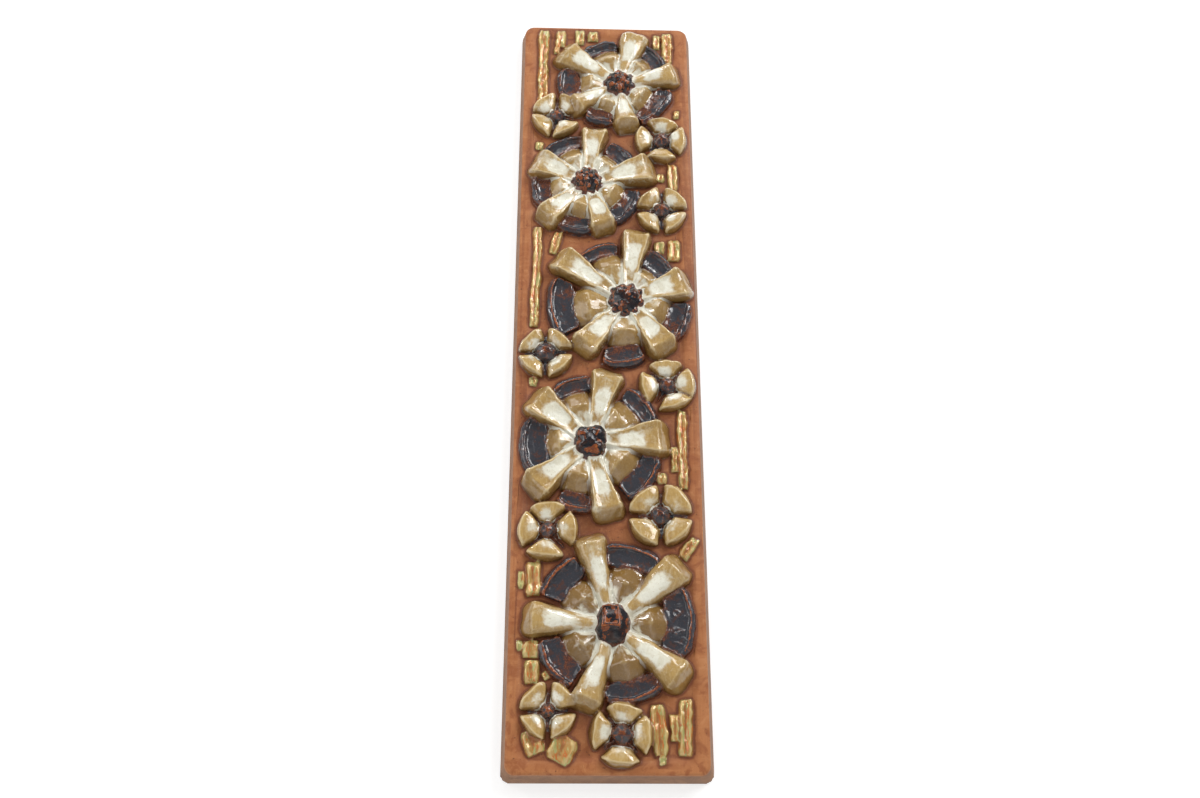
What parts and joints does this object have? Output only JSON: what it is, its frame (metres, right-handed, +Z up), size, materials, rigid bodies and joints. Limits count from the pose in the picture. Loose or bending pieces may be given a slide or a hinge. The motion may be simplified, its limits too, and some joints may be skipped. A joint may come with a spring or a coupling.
{
  "type": "decorative wall plaque",
  "caption": "Tall glazed stoneware wall plaque with flowers in high relief down its middle, smaller flowers and narrow bars beside them, and a hanging slot in its flat back.",
  "frame": {"origin": "centre of the flat back, on the wall", "axes": "+Z up the plaque, +Y into the wall, -Y the way the relief faces, +X to the right as seen from the front"},
  "size_m": [0.125, 0.0263, 0.54],
  "materials": {
    "stoneware": "terracotta-coloured fired clay, with glossy cream, near-black and gold-lustre glazes on the relief"
  },
  "bodies": {
    "root": {"plaque": "stoneware"}
  },
  "joints": []
}
